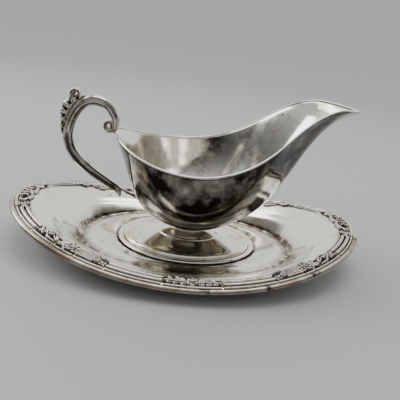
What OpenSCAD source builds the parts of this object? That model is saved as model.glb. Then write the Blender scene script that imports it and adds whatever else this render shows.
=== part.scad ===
// Footed sauce boat standing loose on its oval underplate.
// Millimetres. +Z is up and +X runs towards the spout. The origin is the middle of the face that the
// underplate rests on. Front is -Y, back is +Y.

/* [Underplate] */
// Length of the underplate over its rolled edge
plate_l = 254; // [220:1:310]
// Width of the underplate over its rolled edge
plate_w = 160; // [140:1:200]
// Height of the flange above the table in the middle of each long side
flange_h = 9.2; // [7:0.2:13]
// How much higher the flange stands at the two ends than at the sides
end_rise = 17.8; // [4:0.2:24]
// Thickness of the underplate's sheet
plate_t = 1.4; // [1:0.1:2.2]
// Length of the flat floor
floor_l = 160; // [140:1:190]
// Width of the flat floor
floor_w = 98; // [88:1:118]
// Length of the oval crease between floor and wall
crease_l = 192; // [170:1:215]
// Width of that crease
crease_w = 114; // [104:1:130]
// Height of that crease above the floor, as a share of the flange's
crease_share = 0.55; // [0.2:0.01:0.8]

/* [Border] */
// Distance from the outside of the rolled edge to the inside of the border
border_w = 12.2; // [9:0.1:16]
// Diameter of the rolled edge
edge_d = 3.6; // [2.4:0.1:5]
// Height of the reeding above the flange
reed_h = 1.8; // [1:0.1:3]
// Height of the cast ornaments above the flange
ornament_h = 2.8; // [1.8:0.1:4.5]
// How far the roses and cartouches reach in over the wall
ornament_reach = 2.6; // [0:0.1:4]

/* [Foot] */
// Length of the foot over its base ring
foot_l = 104; // [80:1:118]
// Width of the foot over its base ring
foot_w = 75; // [60:1:84]
// Width of the flat base ring
ring_w = 4.4; // [3:0.1:7]
// Height of the base ring
ring_h = 1.8; // [1.2:0.1:3]
// Height of the waist above the underplate's floor
waist_h = 13.6; // [10:0.2:20]
// Length of the waist
waist_l = 25; // [18:0.5:34]
// Width of the waist
waist_w = 21; // [16:0.5:30]
// Thickness of the foot's sheet
foot_t = 1.0; // [0.7:0.1:1.6]

/* [Collar] */
// Height of the collar between waist and bowl
collar_h = 4.2; // [3:0.1:7]
// Length of the collar
collar_l = 33; // [28:0.5:42]
// Width of the collar
collar_w = 27; // [22:0.5:36]

/* [Bowl] */
// Reach of the spout's tip in front of the foot's middle
spout_reach = 109.5; // [92:0.5:132]
// Reach of the rim behind the foot's middle
back_reach = 59.4; // [48:0.5:72]
// Width of the bowl over its rim wire
bowl_w = 107; // [88:1:130]
// Height of the bowl from its underside to the lowest stretch of rim
bowl_depth = 48.8; // [38:0.5:60]
// How much higher the spout's lip stands than the lowest stretch of rim
spout_rise = 45; // [30:0.5:56]
// How much higher the rim stands at the handle than at its lowest stretch
back_rise = 10.8; // [4:0.2:18]
// Thickness of the bowl's wall
bowl_t = 1.2; // [0.8:0.1:2]
// Diameter of the rim wire
rim_wire_d = 1.4; // [1.4:0.1:3.2]

/* [Handle] */
// Reach of the handle behind the rim
handle_reach = 32.4; // [26:0.2:42]
// Thickness of the handle at its grip
handle_t = 7; // [4:0.1:9]
// Width of the handle at its grip
handle_w = 7.2; // [5:0.1:10]
// Radius of the volute against the rim
volute_r = 5; // [3:0.1:6]
// Radius of the thumb curl
curl_r = 4; // [2.6:0.1:5]
// Thickness of the bracket between handle and bowl
bracket_t = 4; // [2.5:0.1:6]

/* [Fits] */
// Solder gap between pieces that are fixed together
solder_gap = 0.05; // [0.02:0.01:0.1]
// Seam of solder between the leaf and the handle's curved outside
leaf_gap = 0.2; // [0.1:0.05:0.4]
// Gap between the standing boat and the underplate
seat_gap = 0.3; // [0.2:0.05:0.5]
// Clearance between the foot and the bead that centres it
bead_gap = 0.8; // [0.5:0.1:2]
// Height of that bead above the floor
bead_h = 0.7; // [0.3:0.1:1.2]

/* [Hidden] */
ROUND = 60;
SIDES = [["front_left", -1, -1], ["front_right", 1, -1], ["back_left", -1, 1], ["back_right", 1, 1]];
ENDS = [["handle_end", 180], ["spout_end", 0]];
MIDDLES = [["front", 270], ["back", 90]];

// Where each casting starts and ends along a quarter of the border, in degrees from the end
CARTOUCHE_END = 16.5;
END_REED_END = 35;
C_SCROLL_END = 45.5;
ROSE_END = 54;
LEAF_SCROLL_END = 64.5;
SIDE_REED_END = 81.5;

SILVER = "#b9b6ad";
DARK_SILVER = "#8a877f";
CAST_SILVER = "#9d998f";

plate_a = plate_l / 2;
plate_b = plate_w / 2;
floor_z = plate_t;
foot_z = floor_z + seat_gap;
waist_z = floor_z + waist_h;
collar_z = waist_z + 1.6;
bowl_z = collar_z + collar_h + solder_gap;
rim_low_z = bowl_z + bowl_depth;
rim_back_z = rim_low_z + back_rise;
lip_z = rim_low_z + spout_rise;

// ---- Solids from rings of points ----

// Faces between ring i and ring j of n points, wound so that rings counter-clockwise about the
// direction of travel give an outward surface
function band(i, j, n) = [for (k = [0:n - 1])
    let (a = i * n + k, b = i * n + (k + 1) % n, c = j * n + (k + 1) % n, d = j * n + k)
    each [[a, d, c], [a, c, b]]];

// A closed solid over a list of rings: capped at both ends, or joined into a loop
module skin(rings, loop = false) {
    n = len(rings[0]);
    m = len(rings);
    bands = [for (i = [0:m - (loop ? 1 : 2)]) each band(i, (i + 1) % m, n)];
    caps = loop ? [] : [[for (k = [0:n - 1]) k], [for (k = [n - 1:-1:0]) (m - 1) * n + k]];
    polyhedron(points = [for (r = rings) each r], faces = concat(bands, caps), convexity = 8);
}

// An oval ring at one height
function oval(a, b, z) = [for (k = [0:ROUND - 1]) [a * cos(k * 360 / ROUND), b * sin(k * 360 / ROUND), z]];

// A smooth curve through points, with steps per span, that passes through the first and the last.
// AFTER and BEFORE are points beyond the two ends that set the curve's direction there
function through(pts, steps, before, after) = let (n = len(pts)) concat(
    [for (i = [0:n - 2], k = [0:steps - 1])
        let (p0 = i > 0 ? pts[i - 1] : before, p1 = pts[i], p2 = pts[i + 1],
             p3 = i < n - 2 ? pts[i + 2] : after, u = k / steps)
        0.5 * (2 * p1 + (p2 - p0) * u + (2 * p0 - 5 * p1 + 4 * p2 - p3) * u * u
            + (3 * p1 - p0 - 3 * p2 + p3) * u * u * u)],
    [pts[n - 1]]);

// ---- Underplate ----

// Height of the flange's top at angle t round the plate
function flange_z(t) = flange_h + end_rise * cos(t) * cos(t);

// Point of the border at angle t and distance w in from the outside, h above the flange
function border_point(t, w, h) = [(plate_a - w) * cos(t), (plate_b - w) * sin(t), flange_z(t) + h];

// Point of the upper wall at angle t, u being 0 at the crease and 1 at the border
function wall_point(t, u) =
    let (a0 = crease_l / 2, b0 = crease_w / 2, a1 = plate_a - border_w, b1 = plate_b - border_w,
         rise = flange_z(t) - floor_z)
    [(a0 + (a1 - a0) * u) * cos(t), (b0 + (b1 - b0) * u) * sin(t),
     floor_z + rise * (crease_share + (1 - crease_share) * u)];

function angles() = [for (k = [0:ROUND - 1]) k * 360 / ROUND];

function plate_top() =
    let (bead_a = foot_l / 2 + bead_gap, bead_b = foot_w / 2 + bead_gap)
    [[for (t = angles()) border_point(t, edge_d + solder_gap, 0)],
     [for (t = angles()) border_point(t, border_w - 1.2, 0)],
     for (u = [1, 0.75, 0.5, 0.25, 0.08, 0]) [for (t = angles()) wall_point(t, u)],
     oval(floor_l / 2, floor_w / 2, floor_z),
     oval(bead_a + 2, bead_b + 2, floor_z),
     oval(bead_a + 1, bead_b + 1, floor_z + bead_h),
     oval(bead_a, bead_b, floor_z)];

function lowered(rings, d) = [for (r = rings) [for (p = r) p - [0, 0, d]]];

module underplate() {
    top = plate_top();
    under = [oval(floor_l / 2, floor_w / 2, 0), for (i = [7:-1:0]) lowered([top[i]], plate_t)[0]];
    color(SILVER) skin(concat(under, top));
}

module rolled_edge() {
    r = edge_d / 2;
    rings = [for (k = [0:7]) [for (t = angles())
        border_point(t, r - r * cos(k * 45), r * sin(k * 45) - plate_t / 2)]];
    color(SILVER) skin(rings, loop = true);
}

// A casting that lies along the border from t0 to t1. HEIGHTS gives, for each step along it, a list
// of heights from the inside to the outside, and REACH how far its inside stands in over the wall
module casting(t0, t1, heights, reach) {
    n = len(heights);
    m = len(heights[0]);
    w1 = edge_d + solder_gap;
    rings = [for (i = [0:n - 1])
        let (t = t0 + (t1 - t0) * i / (n - 1), w0 = border_w + reach[i])
        concat([for (j = [0:m - 1]) border_point(t, w0 + (w1 - w0) * j / (m - 1), heights[i][j])],
               [border_point(t, w1, solder_gap), border_point(t, w0, solder_gap)])];
    color(CAST_SILVER) skin(rings);
}

// Half the seam between two castings, in degrees
SEAM = 0.15;

// Start and end angle of a stretch of border in the quarter with the given signs, turned so that
// the angle always grows
function quarter(sx, sy, a, b) =
    let (p = sx > 0 ? sy * a : 180 - sy * a, q = sx > 0 ? sy * b : 180 - sy * b)
    p < q ? [p + SEAM, q - SEAM] : [q + SEAM, p - SEAM];

// Three reeds side by side, the middle one the tallest
module reeding(sx, sy, a, b) {
    q = quarter(sx, sy, a, b);
    steps = max(3, round((q[1] - q[0]) / 3));
    profile = [0.25, 0.7, 0.35, 1, 1, 0.35, 0.7, 0.25];
    heights = [for (i = [0:steps]) [for (p = profile) p * reed_h]];
    casting(q[0], q[1], heights, [for (i = [0:steps]) -0.6]);
}

// Height of each kind of relief, 0 to 1, at u along the casting and v across it, both from -1 to 1
function petals(u, v, n) = let (r = norm([u, v]), a = atan2(v, u))
    r < 0.25 ? 1 : max(0.25, (0.75 + 0.25 * cos(n * a)) * (1 - 0.5 * r * r));
function shell(u, v) = max(0.25, (0.65 + 0.35 * cos(atan2(u * 1.6, v + 1.4) * 9)) * (1 - 0.55 * u * u));
function curl(u, v) = let (r = norm([u * 1.3, v]), a = atan2(v, u))
    max(0.3, 0.65 + 0.35 * cos(540 * r - a)) * (1 - 0.35 * abs(u));
function leaves(u, v) = max(0.25, (0.6 + 0.4 * cos(180 * v * 2.5 + 60 * u)) * (1 - 0.4 * v * v));

// One ornament of the border: kind chooses its relief
module ornament(t0, t1, kind, reach) {
    nu = 12;
    nv = 8;
    heights = [for (i = [0:nu]) let (u = 2 * i / nu - 1) [for (j = [0:nv]) let (v = 2 * j / nv - 1)
        ornament_h * (kind == "rose" ? petals(u, v, 5) : kind == "cartouche" ? shell(u, v)
            : kind == "c_scroll" ? curl(u, v) : leaves(u, v))]];
    bulge = [for (i = [0:nu]) let (u = 2 * i / nu - 1) reach * (1 - u * u) - 0.4];
    casting(t0, t1, heights, bulge);
}

module quarter_ornament(sx, sy, a, b, kind, reach) {
    q = quarter(sx, sy, a, b);
    ornament(q[0], q[1], kind, reach);
}

// ---- Foot, collar and bowl ----

module foot_ring() {
    a = foot_l / 2;
    b = foot_w / 2;
    color(SILVER) skin([
        oval(a - 0.5, b - 0.5, foot_z),
        oval(a, b, foot_z + ring_h * 0.35),
        oval(a - 0.5, b - 0.5, foot_z + ring_h),
        oval(a - ring_w + 0.6, b - ring_w + 0.6, foot_z + ring_h),
        oval(a - ring_w, b - ring_w, foot_z + ring_h * 0.35),
        oval(a - ring_w, b - ring_w, foot_z)], loop = true);
}

// Outline of the foot from the ring up to the waist: how far in from the ring towards the waist, and
// how high between the two
FOOT_PROFILE = [[0, 0], [0.015, 0.16], [0.06, 0.25], [0.15, 0.32], [0.3, 0.375], [0.48, 0.43], [0.64, 0.49],
    [0.72, 0.53], [0.745, 0.6], [0.8, 0.64], [0.88, 0.72], [0.95, 0.84], [0.985, 0.94], [1, 1]];

function foot_rings(inset) =
    let (a0 = foot_l / 2 - ring_w - solder_gap, b0 = foot_w / 2 - ring_w - solder_gap, z0 = foot_z)
    [for (p = FOOT_PROFILE)
        oval(a0 + (waist_l / 2 - a0) * p[0] - inset, b0 + (waist_w / 2 - b0) * p[0] - inset,
             z0 + (waist_z - z0) * p[1] - (p[1] > 0 ? inset * 0.6 : 0))];

module foot() {
    outside = foot_rings(0);
    inside = foot_rings(foot_t);
    m = len(outside) - 1;
    top_z = collar_z - solder_gap;
    flare = oval(waist_l / 2 + 1.2, waist_w / 2 + 1.2, top_z);
    mouth = oval(waist_l / 2 - foot_t, waist_w / 2 - foot_t, top_z);
    color(SILVER) skin(concat(outside, [flare, mouth], [for (i = [m:-1:0]) inside[i]]), loop = true);
}

// Outline of the collar: how far in from its widest, and share of its height
COLLAR_PROFILE = [[3.2, 0], [0.9, 0.12], [0, 0.3], [0.9, 0.46], [2, 0.52], [1, 0.62], [0.6, 0.8], [1.2, 1]];

module collar() {
    a = collar_l / 2;
    b = collar_w / 2;
    rings = [for (p = COLLAR_PROFILE) oval(a - p[0], b - p[0], collar_z + collar_h * p[1])];
    color(SILVER) skin(rings);
}

// Half of the rim from the spout's tip to the back: share of the reach, share of the half width,
// and height as a share of the spout's rise
SPOUT_RIM = [[1, 0, 0.952], [0.955, 0.15, 0.98], [0.87, 0.345, 1], [0.775, 0.47, 0.995], [0.66, 0.57, 0.9],
    [0.53, 0.69, 0.685], [0.41, 0.815, 0.43], [0.28, 0.927, 0.22], [0.14, 0.99, 0.08]];
// The same behind the foot's middle, with height as a share of the rise at the back
BACK_RIM = [[0.02, 1, 0.03], [0.31, 0.92, 0], [0.57, 0.76, 0.17], [0.79, 0.535, 0.5], [0.94, 0.275, 0.88],
    [1, 0, 1]];

function half_rim() = concat(
    [for (p = SPOUT_RIM) [spout_reach * p[0], bowl_w / 2 * p[1], rim_low_z + spout_rise * p[2]]],
    [for (p = BACK_RIM) [-back_reach * p[0], bowl_w / 2 * p[1], rim_low_z + back_rise * p[2]]]);

function mirrored(p) = [p[0], -p[1], p[2]];
function rim() =
    let (c = half_rim(), h = through(c, 2, mirrored(c[1]), mirrored(c[len(c) - 2])), n = len(h))
    concat(h, [for (i = [n - 2:-1:1]) mirrored(h[i])]);

function flat(p) = [p[0], p[1], 0];
function unit(p) = p / max(norm(p), 0.001);

// The rim drawn in towards its middle by d and lowered by dz
function inner_rim(d, dz) = let (r = rim(), n = len(r)) [for (i = [0:n - 1])
    let (t = unit(flat(r[(i + 1) % n] - r[(i + n - 1) % n])), inward = [-t[1], t[0], 0])
    r[i] + d * inward - [0, 0, dz]];

// How the wall leaves the base and meets the rim, by direction: [run out, run in, height of the turn]
SPOUT_WALL = [0.62, 0.5, 0.877];
BACK_WALL = [0.75, 0.7, 0.64];
SIDE_WALL = [0.84, 0.95, 0.5];

function wall_shape(p) = let (f = p[0] > 0 ? pow(min(1, p[0] / spout_reach), 1.3) : 0,
                              g = p[0] < 0 ? pow(min(1, -p[0] / back_reach), 2) : 0)
    SPOUT_WALL * f + BACK_WALL * g + SIDE_WALL * (1 - f - g);

// Ring of the bowl's wall at u, 0 at the base and 1 at the rim
function bowl_ring(edge, base, u) = [for (i = [0:len(edge) - 1])
    let (e = edge[i], b = base[i], k = wall_shape(rim()[i]), v = 1 - u,
         out = 3 * v * v * u * k[0] + 3 * v * u * u * k[1] + u * u * u,
         up = 3 * v * u * u * k[2] + u * u * u)
    [b[0] + (e[0] - b[0]) * out, b[1] + (e[1] - b[1]) * out, b[2] + (e[2] - b[2]) * up]];

// The oval where the wall starts, each point facing its own point of the rim
function base_ring(a, b, z) =
    let (mid = (spout_reach - back_reach) / 2, half = (spout_reach + back_reach) / 2)
    [for (p = rim()) let (t = atan2(p[1] * half / (bowl_w / 2), p[0] - mid)) [a * cos(t), b * sin(t), z]];

WALL_STEPS = [0.12, 0.24, 0.36, 0.48, 0.6, 0.72, 0.84, 0.93, 1];

module bowl() {
    drop = rim_wire_d + solder_gap;
    outside = inner_rim(rim_wire_d / 2 - bowl_t / 2, drop);
    inside = inner_rim(rim_wire_d / 2 + bowl_t / 2, drop);
    foot_out = base_ring(collar_l / 2 - 1.5, collar_w / 2 - 1.5, bowl_z);
    foot_in = base_ring(collar_l / 2 - 2.2, collar_w / 2 - 2.2, bowl_z + bowl_t);
    color(DARK_SILVER) skin(concat(
        [foot_out], [for (u = WALL_STEPS) bowl_ring(outside, foot_out, u)],
        [for (i = [len(WALL_STEPS) - 1:-1:0]) bowl_ring(inside, foot_in, WALL_STEPS[i])], [foot_in]));
}

module rim_wire() {
    r = rim_wire_d / 2;
    rings = [for (k = [0:7]) inner_rim(r - r * cos(k * 45), r - r * sin(k * 45))];
    color(SILVER) skin(rings, loop = true);
}

// ---- Handle ----

// Point of the bowl's outside on its back, at u between base and rim
function back_point(u) =
    let (e = [-back_reach + rim_wire_d / 2 - bowl_t / 2, 0, rim_back_z - rim_wire_d],
         b = [-collar_l / 2 + 1.5, 0, bowl_z],
         k = BACK_WALL, v = 1 - u)
    [b[0] + (e[0] - b[0]) * (3 * v * v * u * k[0] + 3 * v * u * u * k[1] + u * u * u), 0,
     b[2] + (e[2] - b[2]) * (3 * v * u * u * k[2] + u * u * u)];

BRACKET_AT = 0.31;
bracket_end = back_point(BRACKET_AT);
volute_mid = [-back_reach - volute_r * 0.95, 0, rim_back_z + 1.4];

// Middle line of the grip, from the volute over the shoulder and down to the tip: share of the
// handle's reach behind the rim, and height between the bracket (0) and the rim's back (1)
GRIP = [[-0.06, 1.08], [-0.03, 1.13], [0.03, 1.22], [0.11, 1.29], [0.24, 1.335], [0.4, 1.35],
    [0.54, 1.33], [0.665, 1.275], [0.765, 1.195], [0.845, 1.095], [0.9, 0.99], [0.93, 0.88],
    [0.925, 0.775], [0.86, 0.655], [0.745, 0.55], [0.605, 0.465], [0.42, 0.37], [0.2, 0.28],
    [-0.02, 0.195], [-0.16, 0.12], [-0.205, 0.02]];

function grip_line() = let (c = [for (p = GRIP)
        [-back_reach - handle_reach * p[0], 0, bracket_end[2] + (rim_back_z - bracket_end[2]) * p[1]]])
    through(c, 2, c[0], c[len(c) - 1]);

function volute_line() = [for (k = [0:8]) let (a = 110 + k * 240 / 8, r = volute_r * (0.45 + 0.32 * k / 8))
    volute_mid + r * [cos(a), 0, sin(a)]];

// Rings of a bar that follows a line in the XZ plane, SIZES giving [half thickness, half width]
function bar_rings(line, sizes) = let (n = len(line)) [for (i = [0:n - 1])
    let (d = unit(line[min(i + 1, n - 1)] - line[max(i - 1, 0)]), side = [-d[2], 0, d[0]])
    [for (k = [0:9]) line[i] + side * sizes[i][0] * cos(k * 36) + [0, 1, 0] * sizes[i][1] * sin(k * 36)]];

// Half thickness and half width of the bar, as shares of those at the grip, along the whole of it
BAR_THICK = [[0, 0.26], [0.15, 0.35], [0.2, 0.62], [0.3, 0.9], [0.42, 0.95], [0.52, 0.88], [0.6, 0.88],
    [0.68, 0.9], [0.8, 0.88], [0.9, 0.76], [0.96, 0.58], [1, 0.15]];
BAR_WIDE = [[0, 0.5], [0.2, 0.8], [0.35, 0.95], [0.7, 1], [0.9, 0.85], [0.96, 0.6], [1, 0.2]];

function handle_line() = concat(volute_line(), grip_line());

module handle() {
    line = handle_line();
    n = len(line);
    sizes = [for (i = [0:n - 1]) let (u = i / (n - 1))
        [handle_t / 2 * lookup(u, BAR_THICK), handle_w / 2 * lookup(u, BAR_WIDE)]];
    color(CAST_SILVER) skin(bar_rings(line, sizes));
}

// Thickness and half width of the leaf from its end on top of the shoulder to its tail, in shares of
// the thumb curl's radius
LEAF = [[0, 0.1, 0.25], [0.14, 0.4, 0.6], [0.3, 0.95, 0.8], [0.42, 1.3, 0.95], [0.55, 0.95, 1],
    [0.75, 0.5, 0.8], [0.88, 0.28, 0.6], [1, 0.1, 0.2]];
LEAF_FIRST = 12;
LEAF_LAST = 24;

// Half thickness of the bar at step i of the grip line
function bar_half(i) = let (n = len(volute_line()))
    handle_t / 2 * lookup((n + i) / (n + len(grip_line()) - 1), BAR_THICK);

// Direction of the bar at step i of the grip line
function bar_way(i) = let (line = grip_line()) unit(line[i + 1] - line[i - 1]);

// A section of the leaf at step i of the grip line: a rounded wedge on the bar's outside
function leaf_ring(i) =
    let (u = (i - LEAF_FIRST) / (LEAF_LAST - LEAF_FIRST), d = bar_way(i), out = [d[2], 0, -d[0]],
         lift = bar_half(i) + leaf_gap,
         t = curl_r * lookup(u, [for (p = LEAF) [p[0], p[1]]]),
         w = curl_r * lookup(u, [for (p = LEAF) [p[0], p[2]]]),
         lobe = 1 + 0.14 * cos(u * 1260))
    [for (k = [0:9]) let (a = k * 36) grip_line()[i] + out * (lift + t * (0.5 + 0.5 * cos(a)))
        + [0, w * lobe * sin(a) * (0.75 + 0.25 * cos(a)), 0]];

module acanthus_leaf() {
    color(CAST_SILVER) skin([for (i = [LEAF_FIRST:LEAF_LAST]) leaf_ring(i)]);
}

// A ring in the plane of UP and Y, with half sizes H and W
function flat_ring(mid, up, h, w) = [for (k = [0:9]) mid + up * h * cos(k * 36) + [0, 1, 0] * w * sin(k * 36)];

// The thumb curl stands on the leaf's ridge on a short stem and rolls forwards over itself
CURL_STEP = 16;
module thumb_curl() {
    low = leaf_ring(CURL_STEP)[0];
    high = leaf_ring(CURL_STEP - 1)[0];
    up = unit(low - high);
    away = [up[2], 0, -up[0]];
    root = (low + high) / 2 + away * solder_gap * 2;
    mid = grip_line()[CURL_STEP] + [-0.15 * curl_r, 0, 2.75 * curl_r];
    turn = [for (k = [0:15]) let (a = 205 - k * 32)
        mid + curl_r * (0.8 - 0.045 * k) * [cos(a), 0, sin(a)]];
    sizes = [for (k = [0:15]) [curl_r * (0.2 - 0.006 * k), curl_r * (0.62 - 0.015 * k)]];
    stem = flat_ring(root, up, curl_r * 0.26, curl_r * 0.45);
    color(CAST_SILVER) skin(concat([stem], bar_rings(turn, sizes)));
}

// The bracket stands on the bar near its lower end and spreads against the bowl's back
module handle_bracket() {
    r = bracket_t / 2;
    step = 2 * len(GRIP) - 4;
    along = bar_way(step);
    from = grip_line()[step] + [-along[2], 0, along[0]] * (bar_half(step) + 4 * solder_gap);
    down = unit(back_point(BRACKET_AT) - back_point(BRACKET_AT + 0.1));
    to = back_point(BRACKET_AT + 0.05) + [down[2], 0, -down[0]] * 3 * solder_gap;
    color(CAST_SILVER) skin([for (k = [0:5]) let (f = k / 5)
        flat_ring(from + (to - from) * f, -unit(along + (down - along) * f),
                  r * (0.75 + 1.25 * f * f * f), r * (0.85 + 0.15 * cos(k * 72)))]);
}

underplate();
rolled_edge();
for (e = ENDS)
    ornament(e[1] - CARTOUCHE_END + SEAM, e[1] + CARTOUCHE_END - SEAM, "cartouche", ornament_reach);
for (s = SIDES) {
    reeding(s[1], s[2], CARTOUCHE_END, END_REED_END);
    quarter_ornament(s[1], s[2], END_REED_END, C_SCROLL_END, "c_scroll", ornament_reach * 0.3);
    quarter_ornament(s[1], s[2], C_SCROLL_END, ROSE_END, "rose", ornament_reach);
    quarter_ornament(s[1], s[2], ROSE_END, LEAF_SCROLL_END, "leaf", ornament_reach * 0.3);
    reeding(s[1], s[2], LEAF_SCROLL_END, SIDE_REED_END);
}
for (m = MIDDLES)
    ornament(m[1] - 90 + SIDE_REED_END + SEAM, m[1] + 90 - SIDE_REED_END - SEAM, "leaf",
                 ornament_reach * 0.4);
foot_ring();
foot();
collar();
bowl();
rim_wire();
handle();
acanthus_leaf();
thumb_curl();
handle_bracket();
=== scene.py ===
"""Footed silver-plated sauce boat standing loose on its oval underplate."""

from __future__ import annotations

import logging
import math
from dataclasses import dataclass, field
from enum import Enum
from typing import Callable, Optional, Sequence

import bpy
import numpy as np
from mathutils import Matrix, Vector


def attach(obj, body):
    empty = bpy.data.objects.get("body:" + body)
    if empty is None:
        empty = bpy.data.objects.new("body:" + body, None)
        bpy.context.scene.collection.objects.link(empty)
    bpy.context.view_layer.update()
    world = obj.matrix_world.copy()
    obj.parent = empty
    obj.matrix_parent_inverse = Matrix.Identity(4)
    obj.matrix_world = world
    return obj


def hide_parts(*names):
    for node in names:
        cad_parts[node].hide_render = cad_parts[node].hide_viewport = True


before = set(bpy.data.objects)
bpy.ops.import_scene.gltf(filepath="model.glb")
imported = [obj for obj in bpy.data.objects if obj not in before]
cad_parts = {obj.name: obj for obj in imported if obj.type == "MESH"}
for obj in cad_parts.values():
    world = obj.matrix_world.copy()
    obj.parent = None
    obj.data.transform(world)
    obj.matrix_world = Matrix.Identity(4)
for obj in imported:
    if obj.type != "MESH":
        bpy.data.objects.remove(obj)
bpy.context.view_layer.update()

LOG = logging.getLogger("sauce_boat")
MM = 0.001
ROUND = 288
Shape = Callable[[np.ndarray, np.ndarray], np.ndarray]
Point = tuple[float, float]
Triple = tuple[float, float, float]


class Body(Enum):
    """The bodies of the frame that pieces ride on."""

    UNDERPLATE = "underplate"
    BOAT = "boat"


class Slot(Enum):
    """The record's material slots."""

    TRAY = "tray_silver"
    EDGE = "edge_silver"
    CAST = "cast_silver"
    FOOT = "foot_silver"
    BOWL = "bowl_silver"
    HANDLE = "handle_silver"


# ---------------------------------------------------------------- curves


def closed_curve(points: np.ndarray, samples: int) -> np.ndarray:
    """Runs a smooth closed curve through points.

    Args:
        points: n by 3 array, in order round the curve.
        samples: how many evenly spaced points to return.

    Returns:
        samples by 3 array whose first row is the first point.
    """
    n = len(points)
    one = np.eye(n)
    control = np.linalg.solve((4 * one + np.roll(one, 1, 1) + np.roll(one, -1, 1)) / 6, points)
    at = np.arange(n * 60) / 60
    i = np.floor(at).astype(int)
    f = (at - i)[:, None]
    fine = (
        (1 - f) ** 3 * control[(i - 1) % n]
        + (3 * f**3 - 6 * f**2 + 4) * control[i % n]
        + (-3 * f**3 + 3 * f**2 + 3 * f + 1) * control[(i + 1) % n]
        + f**3 * control[(i + 2) % n]
    ) / 6
    ring = np.vstack([fine, fine[:1]])
    run = np.concatenate([[0], np.cumsum(np.linalg.norm(np.diff(ring, axis=0), axis=1))])
    want = np.arange(samples) * run[-1] / samples
    return np.column_stack([np.interp(want, run, ring[:, k]) for k in range(3)])


def open_curve(points: np.ndarray, samples: int) -> np.ndarray:
    """Runs a smooth open curve through points, as half of a closed one that goes there and back.

    Args:
        points: n by 3 array from start to end.
        samples: how many evenly spaced points to return, both ends included.

    Returns:
        samples by 3 array.
    """
    there_and_back = np.vstack([points, points[-2:0:-1]])
    return closed_curve(there_and_back, 2 * (samples - 1))[:samples]


def smooth_step(x: np.ndarray) -> np.ndarray:
    """Eases 0 to 1."""
    x = np.clip(x, 0, 1)
    return x * x * (3 - 2 * x)


def unit(v: np.ndarray) -> np.ndarray:
    """Scales each row to length 1."""
    return v / np.maximum(np.linalg.norm(v, axis=-1, keepdims=True), 1e-9)


# ---------------------------------------------------------------- mesh making


def deselect() -> None:
    """Deselects everything, so that an operator acts on nothing else."""
    if bpy.context.mode != "OBJECT":
        bpy.ops.object.mode_set(mode="OBJECT")
    bpy.ops.object.select_all(action="DESELECT")


def paint(obj: bpy.types.Object, name: str, values: np.ndarray) -> None:
    """Stores one number for each vertex, for a finish to read.

    Args:
        obj: the piece.
        name: the attribute's name.
        values: one value per vertex.
    """
    layer = obj.data.attributes.new(name=name, type="FLOAT", domain="POINT")
    layer.data.foreach_set("value", np.asarray(values, dtype=np.float32).ravel())


def places(obj: bpy.types.Object) -> np.ndarray:
    """Gives the vertices' places as an n by 3 array in metres."""
    flat = np.empty(len(obj.data.vertices) * 3)
    obj.data.vertices.foreach_get("co", flat)
    return flat.reshape(-1, 3)


def laid_sheet(
    name: str, shape: Shape, across: int, along: int, paints: Optional[dict[str, Shape]] = None
) -> bpy.types.Object:
    """Adds a grid and lays each of its vertices where a shape says, then closes its seams.

    Args:
        name: the piece's name.
        shape: gives n by 3 places in millimetres for arrays u and v from 0 to 1.
        across: faces along u.
        along: faces along v.
        paints: attribute names and the functions of u and v that give them.

    Returns:
        The new piece, smooth shaded, with its faces outwards.
    """
    deselect()
    bpy.ops.mesh.primitive_grid_add(x_subdivisions=across, y_subdivisions=along, size=2)
    obj = bpy.context.object
    obj.name = obj.data.name = name
    uv = (places(obj)[:, :2] + 1) / 2
    u, v = uv[:, 0], uv[:, 1]
    obj.data.vertices.foreach_set("co", (shape(u, v) * MM).ravel())
    for key, values in (paints or {}).items():
        paint(obj, key, values(u, v))
    close_up(obj)
    return obj


def stacked_sheet(
    name: str, rings: Sequence[np.ndarray], paints: Optional[dict[str, Sequence[np.ndarray]]] = None
) -> bpy.types.Object:
    """Joins rings of points, each one round the piece, into one sheet that closes on itself.

    Args:
        name: the piece's name.
        rings: m rings of n points in millimetres.
        paints: attribute names and m rings of n numbers.

    Returns:
        The new piece.
    """
    stack = np.array(rings)
    rows, count = stack.shape[:2]

    def pick(values: np.ndarray) -> Shape:
        """Turns rings of values into a function of u, round each ring, and v, from ring to ring."""

        def at(u: np.ndarray, v: np.ndarray) -> np.ndarray:
            """Gives the values at grid points u and v."""
            return values[np.rint(v * (rows - 1)).astype(int), np.rint(u * count).astype(int) % count]

        return at

    layers = {key: pick(np.array(value)) for key, value in (paints or {}).items()}
    return laid_sheet(name, pick(stack), count, rows - 1, layers)


def close_up(obj: bpy.types.Object) -> None:
    """Merges seams and poles, caps open ends, turns faces outwards and shades smooth."""
    deselect()
    obj.select_set(True)
    bpy.context.view_layer.objects.active = obj
    bpy.ops.object.mode_set(mode="EDIT")
    bpy.ops.mesh.select_all(action="SELECT")
    bpy.ops.mesh.remove_doubles(threshold=2e-7)
    bpy.ops.mesh.fill_holes(sides=0)
    bpy.ops.mesh.select_all(action="SELECT")
    bpy.ops.mesh.normals_make_consistent(inside=False)
    bpy.ops.object.mode_set(mode="OBJECT")
    bpy.ops.object.shade_smooth()


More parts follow.
